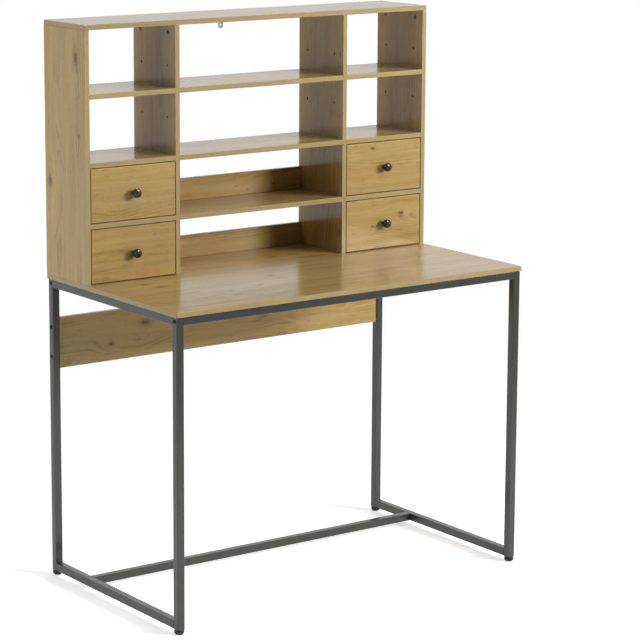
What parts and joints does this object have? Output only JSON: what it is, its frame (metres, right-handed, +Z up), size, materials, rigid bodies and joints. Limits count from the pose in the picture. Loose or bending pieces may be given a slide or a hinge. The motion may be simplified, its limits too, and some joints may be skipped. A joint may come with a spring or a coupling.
{
  "type": "desk with storage",
  "caption": "Writing desk on a square-tube metal frame with levelling feet, carrying an oak-look hutch of open cubbies and inset drawers with ball knobs.",
  "frame": {"origin": "on the floor under the middle of the desktop", "axes": "+X along the desk, -Y the front, +Z up"},
  "size_m": [1, 0.565, 1.35],
  "materials": {
    "oak_board": "satin",
    "hardboard": "satin",
    "frame_steel": "satin",
    "bolt_black": "satin",
    "zinc": "satin",
    "knob_metal": "gloss",
    "foot_plastic": "matte"
  },
  "bodies": {
    "desk": {"modesty_panel": "oak_board", "desktop": "oak_board", "hutch_top": "oak_board", "left_side_panel": "oak_board", "right_side_panel": "oak_board", "left_divider": "oak_board", "right_divider": "oak_board", "left_upper_shelf": "oak_board", "left_lower_shelf": "oak_board", "left_drawer_shelf": "oak_board", "right_upper_shelf": "oak_board", "right_lower_shelf": "oak_board", "right_drawer_shelf": "oak_board", "middle_upper_shelf": "oak_board", "middle_shelf": "oak_board", "middle_lower_shelf": "oak_board", "upper_back_strip": "oak_board", "lower_back_strip": "oak_board", "left_drawer_back_panel": "oak_board", "right_drawer_back_panel": "oak_board", "left_front_leg": "frame_steel", "left_rear_leg": "frame_steel", "left_top_rail": "frame_steel", "left_bottom_rail": "frame_steel", "right_front_leg": "frame_steel", "right_rear_leg": "frame_steel", "right_top_rail": "frame_steel", "right_bottom_rail": "frame_steel", "front_rail": "frame_steel", "rear_rail": "frame_steel", "stretcher": "frame_steel", "frame_bolts": "bolt_black", "desktop_screws": "zinc", "cam_fittings": "zinc", "wall_bracket": "zinc", "bracket_screw": "zinc"},
    "left_upper_drawer": {"left_upper_drawer_front": "oak_board", "left_upper_drawer_sides": "oak_board", "left_upper_drawer_back": "oak_board", "left_upper_drawer_bottom": "hardboard", "left_upper_drawer_knob": "knob_metal"},
    "left_lower_drawer": {"left_lower_drawer_front": "oak_board", "left_lower_drawer_sides": "oak_board", "left_lower_drawer_back": "oak_board", "left_lower_drawer_bottom": "hardboard", "left_lower_drawer_knob": "knob_metal"},
    "right_upper_drawer": {"right_upper_drawer_front": "oak_board", "right_upper_drawer_sides": "oak_board", "right_upper_drawer_back": "oak_board", "right_upper_drawer_bottom": "hardboard", "right_upper_drawer_knob": "knob_metal"},
    "right_lower_drawer": {"right_lower_drawer_front": "oak_board", "right_lower_drawer_sides": "oak_board", "right_lower_drawer_back": "oak_board", "right_lower_drawer_bottom": "hardboard", "right_lower_drawer_knob": "knob_metal"},
    "left_front_foot": {"left_front_foot": "foot_plastic"},
    "left_rear_foot": {"left_rear_foot": "foot_plastic"},
    "right_front_foot": {"right_front_foot": "foot_plastic"},
    "right_rear_foot": {"right_rear_foot": "foot_plastic"}
  },
  "joints": [
    {"name": "left_upper_drawer_slide", "type": "slide", "parent": "desk", "child": "left_upper_drawer", "axis": [0, -1, 0], "range_m": [0, 0.125]},
    {"name": "left_lower_drawer_slide", "type": "slide", "parent": "desk", "child": "left_lower_drawer", "axis": [0, -1, 0], "range_m": [0, 0.125]},
    {"name": "right_upper_drawer_slide", "type": "slide", "parent": "desk", "child": "right_upper_drawer", "axis": [0, -1, 0], "range_m": [0, 0.125]},
    {"name": "right_lower_drawer_slide", "type": "slide", "parent": "desk", "child": "right_lower_drawer", "axis": [0, -1, 0], "range_m": [0, 0.125]},
    {"name": "left_front_foot_screw", "type": "slide", "parent": "desk", "child": "left_front_foot", "axis": [0, 0, -1], "range_m": [0, 0.01]},
    {"name": "left_rear_foot_screw", "type": "slide", "parent": "desk", "child": "left_rear_foot", "axis": [0, 0, -1], "range_m": [0, 0.01]},
    {"name": "right_front_foot_screw", "type": "slide", "parent": "desk", "child": "right_front_foot", "axis": [0, 0, -1], "range_m": [0, 0.01]},
    {"name": "right_rear_foot_screw", "type": "slide", "parent": "desk", "child": "right_rear_foot", "axis": [0, 0, -1], "range_m": [0, 0.01]}
  ]
}
